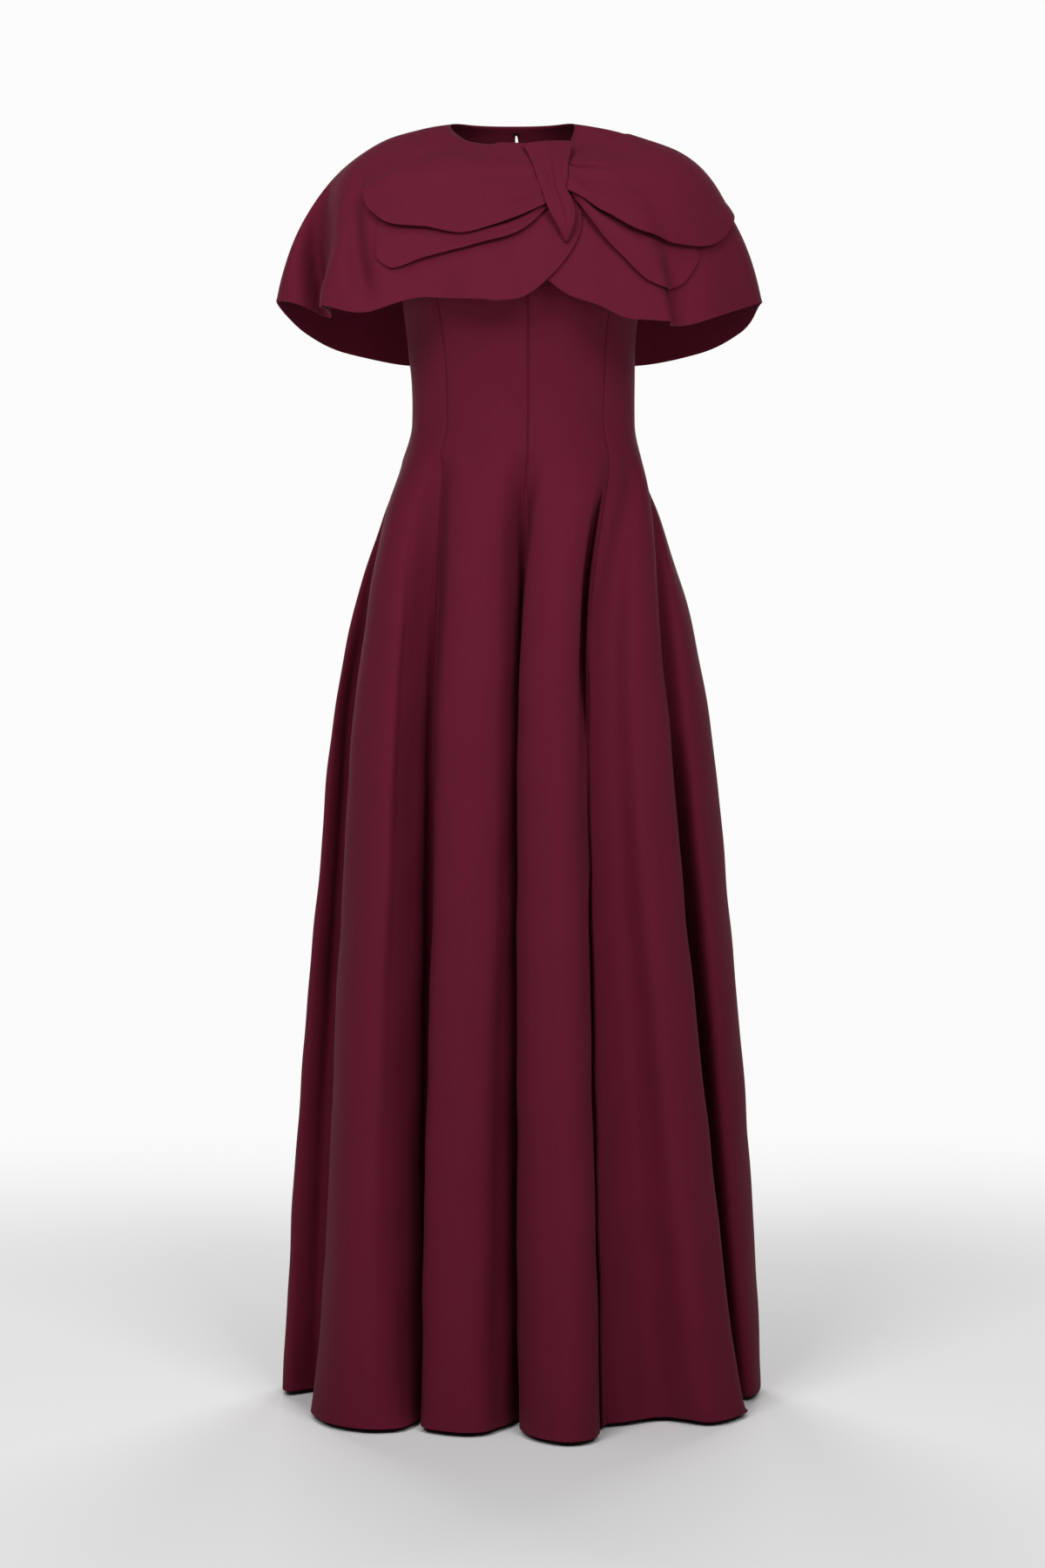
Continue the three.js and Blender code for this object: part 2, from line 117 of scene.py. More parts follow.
# How a fold grows from the waist down to the hem, and how soon it swings round to its place there.
FOLD_GROWTH = {"early": 0.03, "power": 0.45, "swing": 12}
BUST = {"turn": 36, "spread": 20, "z": -215, "height": 55, "out": 9}

NECK = {"x": -11.5, "half": 71.5, "depth": 60}
CAPE = {"half": 279, "front": 168, "back": 170}
# The capelet falls along an arc: its angle off upright at the neck and at the hem, and how the way out is
# spread along it.
CAPE_ARC = {"side": (14, 80), "front": (46, 66), "back": (40, 85)}
CAPE_SPREAD = {"side": 0.75, "middle": 0.9}
CAPE_HEM_GROWTH = 1.6
NECK_EDGE = table(
    "turn z",
    (-180, 13), (-125, 10), (-90, 0), (-68, -16), (-45, -31), (-15, -37),
    (15, -38), (45, -35), (66, -28), (80, -11), (90, 0), (125, 10),
)
CAPE_HEM = table(
    "turn out z",
    (-180, 0, -254), (-138, 2, -253), (-119, 4, -244), (-105, 0, -228), (-91, 0, -203),
    (-83, -20, -211), (-76, -29, -220), (-70, -20, -225), (-66, -4, -228), (-62, 12, -230),
    (-51, 14, -241), (-36, -8, -225), (-17, 3, -232), (0, 2, -238), (17, 0, -236),
    (27, 2, -238), (37, 5, -251), (48, 6, -251), (57, -14, -250), (70, -20, -234),
    (78, -16, -221), (91, -1, -204), (105, 0, -228), (119, 4, -244), (138, 2, -253),
)
# The rounded corners of the two front flaps: how far down each reaches.
FLAP_LEFT = table("turn drop", (-10, 1), (0, 0.965), (10, 0.876), (21.9, 0.713), (27.7, 0.59), (30, 0.5))
FLAP_RIGHT = table("turn drop", (-8, 0.5), (1.3, 0.718), (10.7, 0.876), (18.5, 0.961), (29, 1))
# The left flap lies on the right one: it rises between two turns, and ends by the last one.
FLAP_LIFT = {"from": -24, "to": -12, "off": 31, "end": 39, "out": 3}
# The slit at the back of the neck: its turn at the neck edge, the drops at which it is last closed, fully
# open, last fully open and closed again, and half its width.
SLIT = {"turn": 176.8, "closed": 0.032, "open": 0.05, "shut": 0.42, "end": 0.48, "half": 1.6}
# One petal a row: how far its tucked top edge stands off the capelet, how far its cloth does, how much
# further its free edge and its middle rise, over which part of its length all that fades, and its outline
# from the band to the tip.
PETALS = [
    {"node": "petal_upper_left", "tuck": 3.4, "base": 8, "edge": 4, "puff": 5, "fade": (0.7, 1.6),
     "rows": table(
        "along top_turn top low_turn low",
        (0, 13, 0.068, 15.6, 0.469), (0.25, -8.9, 0.037, -2.1, 0.559),
        (0.5, -39.1, 0.041, -26.5, 0.68), (0.75, -59.3, 0.196, -47, 0.629),
        (0.9, -62.1, 0.366, -55.6, 0.58), (0.97, -63.6, 0.427, -58.6, 0.556),
        (1, -63.8, 0.462, -60.9, 0.52))},
    {"node": "petal_lower_left", "tuck": 2.4, "base": 3.4, "edge": 2.5, "puff": 1.5, "fade": (0.7, 1.6),
     "rows": table(
        "along top_turn top low_turn low",
        (0, 13.7, 0.408, 15.5, 0.477), (0.25, 0.5, 0.478, 1.9, 0.605),
        (0.5, -25.6, 0.576, -19.1, 0.72), (0.75, -43.7, 0.57, -38.6, 0.815),
        (0.9, -50.7, 0.558, -44.6, 0.836), (0.97, -52.9, 0.59, -48.1, 0.799),
        (1, -53, 0.642, -50.2, 0.761))},
    {"node": "petal_upper_right", "tuck": 3.4, "base": 8, "edge": 4, "puff": 4, "fade": (0.5, 1),
     "rows": table(
        "along top_turn top low_turn low",
        (0, 39.5, 0.09, 25, 0.385), (0.2, 63, 0.085, 37.9, 0.505),
        (0.4, 80, 0.1, 47.1, 0.62), (0.6, 93, 0.16, 59.6, 0.686),
        (0.8, 103, 0.28, 72.2, 0.725), (1, 106, 0.46, 98, 0.57))},
    {"node": "petal_lower_right", "tuck": 2.55, "base": 3.4, "edge": 2.5, "puff": 1.5, "fade": (0.7, 1.6),
     "rows": table(
        "along top_turn top low_turn low",
        (0, 28.2, 0.333, 27.7, 0.387), (0.25, 40, 0.435, 32.2, 0.556),
        (0.5, 49.9, 0.56, 38.2, 0.701), (0.75, 61, 0.628, 45.5, 0.841),
        (0.9, 65.6, 0.702, 51.4, 0.865), (0.97, 66.3, 0.732, 58.9, 0.84),
        (1, 66.1, 0.761, 62.4, 0.805))},
]
# The band: from turn to turn at each drop, and how far off the capelet it stands.
BAND = table(
    "drop left right lift",
    (0.047, 8.9, 50, 9), (0.165, 11.6, 38, 12), (0.25, 12.4, 31.6, 15), (0.34, 13.2, 28.2, 15),
    (0.4, 14, 26, 15), (0.46, 14.3, 26.7, 15), (0.52, 15.1, 26.4, 15), (0.583, 16.8, 25.1, 13),
    (0.63, 18.3, 23.2, 10.5), (0.684, 19.6, 20.5, 5.5),
)
BAND_CROWN = 2.5


# Curves.
def lerp(a, b, t):
    return a + (b - a) * t


def ease(t):
    u = np.clip(t, 0, 1)
    return u * u * (3 - 2 * u)


def curve(rows, by, of, turn=0.0):
    """A smooth line through one column of a table, without overshoot. turn makes the table repeat."""
    shifts = (-turn, 0, turn) if turn else (0,)
    x = np.concatenate([rows[by] + s for s in shifts])
    y = np.concatenate([rows[of] for _ in shifts])
    order = np.argsort(x)
    x, y = x[order], y[order]
    step = np.diff(x)
    rise = np.diff(y) / step
    lean = np.concatenate([rise[:1], np.zeros(len(x) - 2), rise[-1:]])
    same = rise[:-1] * rise[1:] > 0
    near, far = 2 * step[1:] + step[:-1], step[1:] + 2 * step[:-1]
    a, b = np.where(same, rise[:-1], 1), np.where(same, rise[1:], 1)
    lean[1:-1] = np.where(same, (near + far) / (near / a + far / b), 0)

    def at(value):
        v = np.clip(value, x[0], x[-1])
        i = np.clip(np.searchsorted(x, v, side="right") - 1, 0, len(x) - 2)
        t = (v - x[i]) / step[i]
        u = 1 - t
        return (y[i] * (1 + 2 * t) * u * u + lean[i] * step[i] * t * u * u
                + y[i + 1] * t * t * (3 - 2 * t) - lean[i + 1] * step[i] * t * t * u)

    return at


def hump(distance, width):
    return np.exp(-((distance / width) ** 2))


def unit(v):
    return v / np.maximum(np.linalg.norm(v, axis=-1, keepdims=True), 1e-9)


# The gown's body.
half, front, back, middle = (curve(LEVELS, "z", k) for k in ("half", "front", "back", "x"))


def on_body(turn, z):
    a = np.radians(turn)
    depth = np.where(np.cos(a) > 0, front(z), back(z))
    return np.stack([middle(z) + half(z) * np.sin(a), -depth * np.cos(a)], -1)


def fold_points():
    """Every fold point: its turn at the waist and at the hem, its way off the plain oval, and its lean."""
    rows = []
    for i, gore in enumerate(GORES):
        end = GORES[i + 1]["waist"] if i < len(GORES) - 1 else GORES[0]["waist"] + 360
        count = len(gore["hem"])
        for j, (x, y) in enumerate(gore["hem"]):
            waist = lerp(gore["waist"], end, j / count)
            depth = front(HEM_Z) if y < 0 else back(HEM_Z)
            hem = math.degrees(math.atan2((x - middle(HEM_Z)) / half(HEM_Z), -y / depth))
            hem += 360 * round((waist - hem) / 360)
            plain = on_body(hem, HEM_Z)
            lean = [gore.get(k, [0] * count)[j] for k in ("aslant", "bow")]
            rows.append((waist, hem, x - plain[0], y - plain[1], *lean))
    return np.array(rows).T


FOLDS = fold_points()
FOLD_COUNT = FOLDS.shape[1]


def bust(turn, z):
    beside = hump(np.abs(turn) - BUST["turn"], BUST["spread"])
    return BUST["out"] * beside * hump(z - BUST["z"], BUST["height"])


def section(z):
    """Fold points seen from above at the heights z: one row of points a height."""
    z = np.asarray(z, float)[:, None]
    t = np.clip((FOLD_TOP_Z - z) / (FOLD_TOP_Z - HEM_Z), 0, 1)
    early = FOLD_GROWTH["early"]
    grown = (1 + early) * t * t / (t + early)
    size = grown ** FOLD_GROWTH["power"]
    swing = 1 - np.exp(-FOLD_GROWTH["swing"] * grown)
    waist, hem, dx, dy, aslant, bow = FOLDS
    turn = lerp(waist, hem, swing) + aslant * swing * np.sqrt(1 - t) + bow * np.sin(np.pi * t ** 3)
    full = bust(turn, z)
    a = np.radians(turn)
    way = np.stack([dx * size + 0.5 * full * np.sin(a), dy * size - full * np.cos(a)], -1)
    return on_body(turn, z + 0 * turn) + way


def body_points(at, z):
    """A smooth line through the fold points. at counts them round the body, z is the height of each row."""
    points = section(z)
    i = np.floor(at).astype(int)
    w = (at - i)[None, :, None]
    p = [points[:, (i + k) % FOLD_COUNT] for k in (-1, 0, 1, 2)]
    apart = [np.linalg.norm(p[k + 1] - p[k], axis=-1, keepdims=True) for k in range(3)]
    gap = [np.sqrt(np.maximum(d, 1e-6)) for d in apart]
    out = (p[1] - p[0]) / gap[0] - (p[2] - p[0]) / (gap[0] + gap[1]) + (p[2] - p[1]) / gap[1]
    into = (p[2] - p[1]) / gap[1] - (p[3] - p[1]) / (gap[1] + gap[2]) + (p[3] - p[2]) / gap[2]
    out, into = out * gap[1], into * gap[1]
    flat = (p[1] + out * w + (-3 * p[1] + 3 * p[2] - 2 * out - into) * w ** 2
            + (2 * p[1] - 2 * p[2] + out + into) * w ** 3)
    height = np.broadcast_to(np.asarray(z, float)[:, None, None], flat.shape[:2] + (1,))
    return np.concatenate([flat, height], -1)


# The capelet.
neck_z = curve(NECK_EDGE, "turn", "z", 360)
hem_out = curve(CAPE_HEM, "turn", "out", 360)
hem_z = curve(CAPE_HEM, "turn", "z", 360)


def oval(s, c, wide, deep):
    return 1 / np.hypot(s / wide, c / deep)


def cape_plain(turn, drop):
    a = np.radians(turn)
    s, c = np.sin(a), np.cos(a)
    near = oval(s, c, NECK["half"], NECK["depth"])
    far = oval(s, c, CAPE["half"], np.where(c > 0, CAPE["front"], CAPE["back"]))
    first, last = (
        np.radians(side * s * s + np.where(c > 0, ahead, behind) * c * c)
        for side, ahead, behind in zip(CAPE_ARC["side"], CAPE_ARC["front"], CAPE_ARC["back"])
    )
    arc = lerp(first, last, drop)
    reach = (np.sin(arc) - np.sin(first)) / (np.sin(last) - np.sin(first))
    fall = (np.cos(first) - np.cos(arc)) / (np.cos(first) - np.cos(last))
    power = CAPE_SPREAD["side"] * s * s + CAPE_SPREAD["middle"] * c * c
    spread = np.sign(reach) * np.abs(reach) ** power
    r = lerp(near, far, spread) + hem_out(turn) * np.maximum(drop, 0) ** CAPE_HEM_GROWTH
    return np.stack([NECK["x"] * (1 - drop) + r * s, -r * c, lerp(neck_z(turn), hem_z(turn), fall)], -1)


def cape_normal(turn, drop):
    # at the neck edge itself the arc has no way to look back, so it is taken a little lower
    d = np.maximum(drop, 0.012)
    across = cape_plain(turn + 0.5, d) - cape_plain(turn - 0.5, d)
    down = cape_plain(turn, d + 0.01) - cape_plain(turn, d - 0.01)
    return unit(np.cross(down, across))


# Folds that run down the capelet: turn where a fold starts and where it ends at the hem, the drops between
# which it grows, its height (a trough is below nought) and its width in degrees.
CAPE_FOLDS = table(
    "top hem start full height width",
    (-86, -62.5, 0.42, 0.95, 5, 2.3),
    (-98, -76, 0.45, 0.95, -5, 5),
    (-100, -93, 0.3, 1, 4, 7),
    (50.5, 49.3, 0.74, 0.96, 3, 2),
    (57, 54.5, 0.6, 1, -8, 4.5),
    (72, 68, 0.5, 1, 4, 7),
    (-40, -46, 0.6, 1, 2.5, 8),
    (-24, -30, 0.7, 1, -3, 6),
    (98, 94, 0.3, 1, -4, 6),
    (128, 131, 0.3, 1, 3.5, 9),
    (151, 156, 0.35, 1, -3, 8),
    (-124, -128, 0.3, 1, -4, 8),
    (-148, -146, 0.35, 1, 3.5, 9),
)


def cape_folds(turn, drop):
    total = 0.0
    for top, hem, start, full, height, width in zip(*CAPE_FOLDS.values()):
        place = lerp(top, hem, drop)
        total = total + height * ease((drop - start) / (full - start)) * hump(turn - place, width)
    return total


# The deep fold behind the left corner goes straight back, under the corner.
CAPE_TUCK = {"top": -97.0, "hem": -74.5, "start": 0.3, "full": 0.95, "back": 66.0, "width": 5.5}


def on_cape(turn, drop, lift):
    out = lift + cape_folds(turn, drop)
    points = cape_plain(turn, drop) + cape_normal(turn, drop) * out[..., None]
    grown = ease((drop - CAPE_TUCK["start"]) / (CAPE_TUCK["full"] - CAPE_TUCK["start"]))
    place = lerp(CAPE_TUCK["top"], CAPE_TUCK["hem"], drop)
    points[..., 1] += CAPE_TUCK["back"] * grown * hump(turn - place, CAPE_TUCK["width"])
    return points


# A soft hollow beside the tips of the left petals, in the capelet alone, so that the tips stand off it.
TIP_HOLLOW = {"top": -85.5, "hem": -48, "start": 0.36, "full": 0.6, "end": 0.8,
              "share_at_hem": 0.3, "deep": 17, "width": 3.0}


def tip_hollow(turn, drop):
    place = lerp(TIP_HOLLOW["top"], TIP_HOLLOW["hem"], drop)
    grown = ease((drop - TIP_HOLLOW["start"]) / (TIP_HOLLOW["full"] - TIP_HOLLOW["start"]))
    gone = (1 - TIP_HOLLOW["share_at_hem"]) * ease((drop - TIP_HOLLOW["end"]) / (1 - TIP_HOLLOW["end"]))
    return -TIP_HOLLOW["deep"] * grown * (1 - gone) * hump(turn - place, TIP_HOLLOW["width"])


def flap_lift(turn):
    rise = ease((turn - FLAP_LIFT["from"]) / (FLAP_LIFT["to"] - FLAP_LIFT["from"]))
    past = ease((turn - FLAP_LIFT["off"]) / (FLAP_LIFT["end"] - FLAP_LIFT["off"]))
    return FLAP_LIFT["out"] * rise * (1 - past)


# Cloth is never quite even: low slow waves, by their length along each axis in millimetres, their start and
# their height.
WAVES = table(
    "x y z start height",
    (90, 260, 310, 0.4, 0.45),
    (170, 120, -150, 2.1, 0.4),
    (-61, 95, 420, 4.4, 0.22),
    (230, -180, 88, 5.3, 0.22),
    (47, 400, -240, 1.2, 0.12),
)


def unevenness(points):
    total = 0.0
    for x, y, z, start, high in zip(*WAVES.values()):
        phase = points[..., 0] / x + points[..., 1] / y + points[..., 2] / z
        total = total + high * np.sin(2 * np.pi * phase + start)
    return total


def grid_normals(grid):
    return unit(np.cross(np.gradient(grid, axis=0), np.gradient(grid, axis=1)))


def cloth_piece(stands_for, outer, normals=None):
    """A closed cloth shell in place of one solid. outer is a grid of points whose front is seen with columns
    to the right and rows down; the inner sheet lies one cloth's thickness behind it."""
    name = "gown_" + stands_for
    inner = outer - (grid_normals(outer) if normals is None else normals) * CLOTH
    high, wide = outer.shape[:2]
    points = np.concatenate([outer.reshape(-1, 3), inner.reshape(-1, 3)]) / 1000
    f = np.arange(high * wide).reshape(high, wide)
    k = f + high * wide

    def quads(*corners):
        return np.stack([c.ravel() for c in corners], -1)

    faces = np.concatenate([
        quads(f[:-1, :-1], f[1:, :-1], f[1:, 1:], f[:-1, 1:]),
        quads(k[:-1, :-1], k[:-1, 1:], k[1:, 1:], k[1:, :-1]),
        quads(f[:-1, 0], k[:-1, 0], k[1:, 0], f[1:, 0]),
        quads(f[:-1, -1], f[1:, -1], k[1:, -1], k[:-1, -1]),
        quads(f[0, :-1], f[0, 1:], k[0, 1:], k[0, :-1]),
        quads(f[-1, :-1], k[-1, :-1], k[-1, 1:], f[-1, 1:]),
    ])
    mesh = bpy.data.meshes.new(name)
    mesh.from_pydata(points.tolist(), [], faces.tolist())
    mesh.update()
    mesh.polygons.foreach_set("use_smooth", [True] * len(mesh.polygons))
    mesh.materials.append(CREPE)
    piece = bpy.data.objects.new(name, mesh)
    bpy.context.scene.collection.objects.link(piece)
    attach(piece, "root")
    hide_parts(stands_for)
    return piece


def near_edges(count, share):
    """Values from 0 to 1, closer together at both ends. share is how close, against even steps."""
    c = np.linspace(0, 1, count + 1)
    return c - (1 - share) * np.sin(2 * np.pi * c) / (2 * np.pi)


# Cloth and metal.
def node(tree, kind, **values):
    """A shader node. A value goes to the setting or the socket of its name."""
    made = tree.nodes.new(kind)
    for key, value in values.items():
        if hasattr(made, key):
            setattr(made, key, value)
        else:
            made.inputs[key.replace("_", " ")].default_value = value
    return made


def new_material(name):
    material = bpy.data.materials.new(name)
    material.use_nodes = True
    tree = material.node_tree
    return material, tree, tree.nodes["Principled BSDF"]


def two_colours(tree, bsdf, dark, light, share):
    """The surface's colour, mixed from two by a socket's value."""
    mixed = node(tree, "ShaderNodeMix", data_type="RGBA")
    mixed.inputs["A"].default_value = (*dark, 1.0)
    mixed.inputs["B"].default_value = (*light, 1.0)
    tree.links.new(share, mixed.inputs["Factor"])
    tree.links.new(mixed.outputs["Result"], bsdf.inputs["Base Color"])


def times_plus(tree, value, factor, added=None):
    """A socket that gives value times factor, and what is added to it."""
    made = node(tree, "ShaderNodeMath", operation="MULTIPLY_ADD")
    made.inputs[1].default_value = factor
    made.inputs[2].default_value = 0.0
    tree.links.new(value, made.inputs[0])
    if added is not None:
        tree.links.new(added, made.inputs[2])
    return made.outputs[0]


# Crepe: the scales of its textures by the metre, how long the grain and the twist are drawn upright, their
# shares in the colour, and its grain as a relief in metres.
CREPE_LOOK = {
    "light": (0.112, 0.0076, 0.0232), "dark": (0.086, 0.0053, 0.0167),
    "grain": 900.0, "pebble": 650.0, "slow": 5.0, "twist": 160.0,
    "grain_upright": 0.45, "twist_upright": 0.04,
    "slow_share": 0.45, "grain_share": 0.35, "twist_share": 0.35,
    "rough": (0.75, 0.92), "relief": 0.0006, "relief_strength": 0.35, "pebble_relief": 0.5,
    "sheen_tint": (0.85, 0.45, 0.55, 1.0),
}


def crepe(name, look):
    """Matte crepe: a fine pebbled grain with a faint upright twist, slow changes of shade, a soft sheen."""
    material, tree, bsdf = new_material(name)
    link = tree.links.new
    place = node(tree, "ShaderNodeTexCoord").outputs["Object"]
    grain_map = node(tree, "ShaderNodeMapping", Scale=(1.0, 1.0, look["grain_upright"]))
    twist_map = node(tree, "ShaderNodeMapping", Scale=(1.0, 1.0, look["twist_upright"]))
    grain = node(tree, "ShaderNodeTexNoise", Scale=look["grain"], Detail=3.0, Roughness=0.6)
    pebble = node(tree, "ShaderNodeTexVoronoi", Scale=look["pebble"])
    slow = node(tree, "ShaderNodeTexNoise", Scale=look["slow"], Detail=3.0, Roughness=0.55)
    twist = node(tree, "ShaderNodeTexNoise", Scale=look["twist"], Detail=2.0, Roughness=0.5)
    link(place, grain_map.inputs["Vector"])
    link(place, twist_map.inputs["Vector"])
    link(place, slow.inputs["Vector"])
    link(grain_map.outputs["Vector"], grain.inputs["Vector"])
    link(grain_map.outputs["Vector"], pebble.inputs["Vector"])
    link(twist_map.outputs["Vector"], twist.inputs["Vector"])

    shade = times_plus(tree, twist.outputs["Fac"], look["twist_share"])
    shade = times_plus(tree, grain.outputs["Fac"], look["grain_share"], shade)
    shade = times_plus(tree, slow.outputs["Fac"], look["slow_share"], shade)
    two_colours(tree, bsdf, look["dark"], look["light"], shade)

    rough = node(tree, "ShaderNodeMapRange")
    rough.inputs["To Min"].default_value, rough.inputs["To Max"].default_value = look["rough"]
    link(grain.outputs["Fac"], rough.inputs["Value"])
    link(rough.outputs["Result"], bsdf.inputs["Roughness"])

    bump = node(tree, "ShaderNodeBump", Strength=look["relief_strength"], Distance=look["relief"])
    relief = times_plus(tree, pebble.outputs["Distance"], look["pebble_relief"], grain.outputs["Fac"])
    link(relief, bump.inputs["Height"])
    link(bump.outputs["Normal"], bsdf.inputs["Normal"])
    bsdf.inputs["Specular IOR Level"].default_value = 0.1
    bsdf.inputs["Sheen Weight"].default_value = 0.02
    bsdf.inputs["Sheen Roughness"].default_value = 0.45
    bsdf.inputs["Sheen Tint"].default_value = look["sheen_tint"]
    return material


METAL_LOOK = {"light": (0.04, 0.014, 0.02), "dark": (0.012, 0.004, 0.006), "wear": 400.0, "metallic": 0.6,
              "rough": 0.4}


def coated_metal(name, look):
    """The small hook at the neck, coated dark and a little worn."""
    material, tree, bsdf = new_material(name)
    place = node(tree, "ShaderNodeTexCoord")
    wear = node(tree, "ShaderNodeTexNoise", Scale=look["wear"], Detail=4.0)
    tree.links.new(place.outputs["Object"], wear.inputs["Vector"])
    two_colours(tree, bsdf, look["dark"], look["light"], wear.outputs["Fac"])
    bsdf.inputs["Metallic"].default_value = look["metallic"]
    bsdf.inputs["Roughness"].default_value = look["rough"]
    return material


CREPE = crepe("crepe", CREPE_LOOK)
METAL = coated_metal("coated_metal", METAL_LOOK)

# The body in fine rows.
SEAM = {"deep": 1.7, "wide": 1.3, "soft": 0.7, "spread": 6.0}
# Soft folds and creases of the body. at counts fold points, at the fold's upper and lower end; the heights
# between which it runs; its height (a trough is below nought) and width in millimetres.
BODY_FOLDS = table(
    "at_top at_low z_top z_low height width",
    (10, 10, -560, -1500, -8, 9),
    (15, 15, -560, -1100, -6, 6),
    (15, 15, -700, -1600, -9, 9),
    (19, 19, -415, -1100, -9, 7),
    (19, 19, -700, -1600, -12, 10),
    (23.35, 23.4, -440, -820, -14, 4),
    (23.6, 23.5, -850, -1600, -7, 5),
    (29, 29, -440, -1100, -12, 9),
    (29, 29, -700, -1600, -10, 10),
    (12.6, 12.2, -460, -1300, 2.2, 22),
    (17.6, 17.2, -450, -1250, -2, 14),
    (18.2, 18, -800, -1700, -6, 18),
    (21.4, 21.6, -500, -1500, -2.2, 16),
    (26, 26.6, -480, -1400, -3, 20),
    (27.2, 27.2, -800, -1600, 3, 18),
    (2.6, 2.4, -450, -1500, 3, 20),
    (36.6, 36.4, -450, -1500, 3, 20),
    (5, 5, -430, -1600, -6, 9),
    (34, 34, -430, -1600, -6, 9),
    (0, 0, -430, -1600, -5, 9),
    (7.4, 7.6, -460, -1500, -2.5, 20),
    (31.6, 31.4, -460, -1500, -2.5, 20),
)
# Places where a fold goes straight back behind its neighbour: at and heights as above, how far back, width.
BODY_TUCKS = table(
    "at_top at_low z_top z_low back width",
    (23.5, 23.5, -425, -740, 42, 4.5),
    (23.7, 23.6, -560, -1700, 28, 5.5),
    (28.7, 28.9, -480, -1200, 55, 11),
    (28.9, 29, -700, -1900, 65, 13),
)
# Rows of a gore: level ones from a height down to just over the hem, closer ones over the hem, and at the
# top some that lean over to the top edge, by their share of the way down from it.
# Columns of a gore: how many to each fold point, and how close together they stand by the seams.
GORE_ROWS = {"step": 6.5, "level_from": -178, "level_to": 8}
ROWS_OVER_HEM = [6.5, 4.5, 2.8, 1.4, 0.5, 0]
ROWS_UNDER_TOP = [0, 0.04, 0.12, 0.25, 0.45, 0.7]
GORE_COLUMNS = {"each": 16, "closeness": 0.16}


def level_rows():
    start, end = GORE_ROWS["level_from"], HEM_Z + GORE_ROWS["level_to"]
    count = int((start - HEM_Z) / GORE_ROWS["step"])
    return np.concatenate([np.linspace(start, end, count), HEM_Z + np.array(ROWS_OVER_HEM)])


def body_surface(at, z):
    """Points and outward normals of the plain body."""
    points = body_points(at, z)
    across = body_points(at + 0.02, z) - body_points(at - 0.02, z)
    up = body_points(at, z + 2) - body_points(at, z - 2)
    return points, unit(np.cross(across, up))


def sum_folds(folds, at, height, length):
    """What the folds of a table add up to at every point of a gore. length runs along each of its rows.
    Folds more than reach fold points away from the gore are left out."""
    total = 0.0
    reach = 2
    pace = length[:, -1] / (at[-1] - at[0])
    for a_top, a_low, z_top, z_low, high, wide in zip(*folds.values()):
        share = np.clip((z_top - height) / (z_top - z_low), 0, 1)
        centre = lerp(a_top, a_low, share[:, 0])
        if centre.max() < at[0] - reach or centre.min() > at[-1] + reach:
            continue
        inside = np.clip(centre, at[0], at[-1])
        along = np.array([np.interp(c, at, row) for c, row in zip(inside, length)])
        along += (centre - inside) * pace
        total = total + high * np.sin(np.pi * share) ** 0.7 * hump(length - along[:, None], wide)
    return total


def gore_surface(i, at):
    """Points and normals of a whole gore, whose upper rows follow the top edge."""
    gore = GORES[i]
    end = GORES[i + 1]["waist"] if i < len(GORES) - 1 else 180
    waist = lerp(gore["waist"], end, (at - at[0]) / (at[-1] - at[0]))
    top = TOP_EDGE["z"] + TOP_EDGE["rise"] * np.cos(np.radians(waist))
    points, normals = body_surface(at, level_rows())
    column = np.arange(len(at))
    rows, slopes = [], []
    for share in ROWS_UNDER_TOP:
        row, slope = body_surface(at, lerp(top, GORE_ROWS["level_from"], share))
        rows.append(row[column, column])
        slopes.append(slope[column, column])
    return np.concatenate([np.array(rows), points]), np.concatenate([np.array(slopes), normals])


def gore_piece(i):
    gore = GORES[i]
    count = len(gore["hem"])
    start = sum(len(g["hem"]) for g in GORES[:i])
    at = start + count * near_edges(count * GORE_COLUMNS["each"], GORE_COLUMNS["closeness"])
    points, normals = gore_surface(i, at)
    height = points[..., 2]
    steps = np.linalg.norm(np.diff(points, axis=1), axis=-1)
    length = np.concatenate([np.zeros((len(points), 1)), np.cumsum(steps, 1)], 1)
    edge = np.minimum(length, length[:, -1:] - length)
    lift = -SEAM["deep"] * hump(edge, SEAM["wide"]) - SEAM["soft"] * hump(edge, SEAM["spread"])
    lift = lift + sum_folds(BODY_FOLDS, at, height, length) + unevenness(points)
    points = points + normals * lift[..., None]
    points[..., 1] += sum_folds(BODY_TUCKS, at, height, length)
    # each edge goes over by half the lap
    points[:, 0] -= unit(points[:, 1] - points[:, 0]) * SEAM_LAP / 2
    points[:, -1] -= unit(points[:, -2] - points[:, -1]) * SEAM_LAP / 2
    return cloth_piece(gore["node"], points, normals)


# The capelet in fine rows.
def slit_half(drop):
    opened = ease((drop - SLIT["closed"]) / (SLIT["open"] - SLIT["closed"]))
    shut = 1 - ease((drop - SLIT["shut"]) / (SLIT["end"] - SLIT["shut"]))
    return (SLIT["half"] + SEAM_LAP / 2) * opened * shut - SEAM_LAP / 2


# Rows and columns of a capelet half, its rows closest at the hem. The last row rolls out a little, the first
# ones are even, and the whole lies a little inside its solid.
CAPE_COLUMNS = {"count": 170, "closeness": 0.2}
CAPE_ROWS = {"count": 62, "to": 0.985, "power": 1.05}
CAPE_ROWS_OVER_HEM = [0.989, 0.993, 0.996, 0.998, 1]
CAPE_ROLL = {"out": 0.5, "width": 0.012}
CAPE_INSET = 0.3


